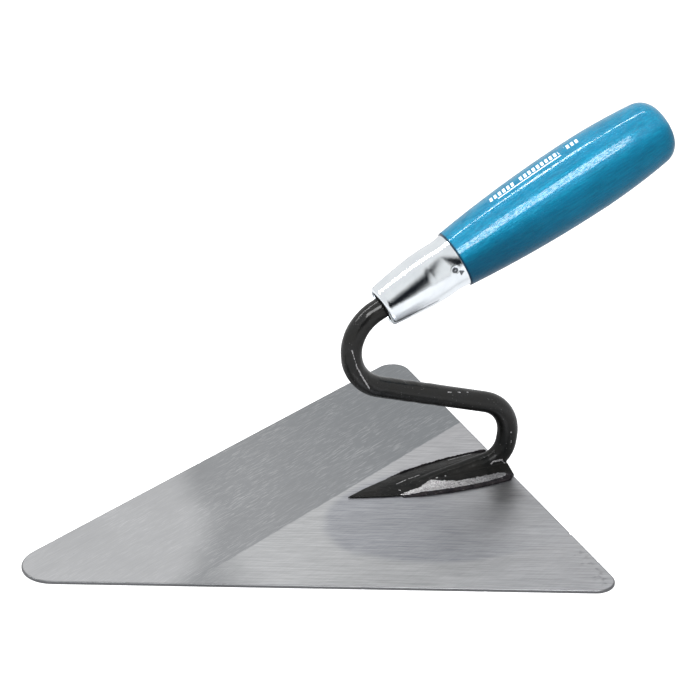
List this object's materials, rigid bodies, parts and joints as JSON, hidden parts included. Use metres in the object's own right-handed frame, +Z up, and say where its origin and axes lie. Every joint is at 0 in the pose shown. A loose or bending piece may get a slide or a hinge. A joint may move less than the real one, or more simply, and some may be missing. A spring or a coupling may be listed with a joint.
{
  "type": "brick trowel",
  "caption": "Triangular steel trowel blade on a welded swan-neck tang, driven into a lacquered wooden grip with a coned metal ferrule.",
  "frame": {"origin": "on the sole of the blade, at the middle of its heel edge", "axes": "+X from the blade's heel to its tip, +Y to the left, +Z up from the sole; the handle rises towards -X"},
  "size_m": [0.2828, 0.21, 0.1538],
  "materials": {
    "ground_steel": "linen-ground, satin, lightly oiled",
    "black_forging": "semi-gloss black paint over forging scale",
    "weld_metal": "rough weld, painted black, scraped bright in places",
    "bright_plating": "bright plating with fine tube-drawing grain",
    "lacquered_wood": "translucent blue lacquer over grain, glossy"
  },
  "bodies": {
    "root": {"blade": "ground_steel", "tang": "black_forging", "weld_bead_left": "weld_metal", "weld_bead_right": "weld_metal", "ferrule": "bright_plating", "handle": "lacquered_wood"}
  },
  "joints": []
}
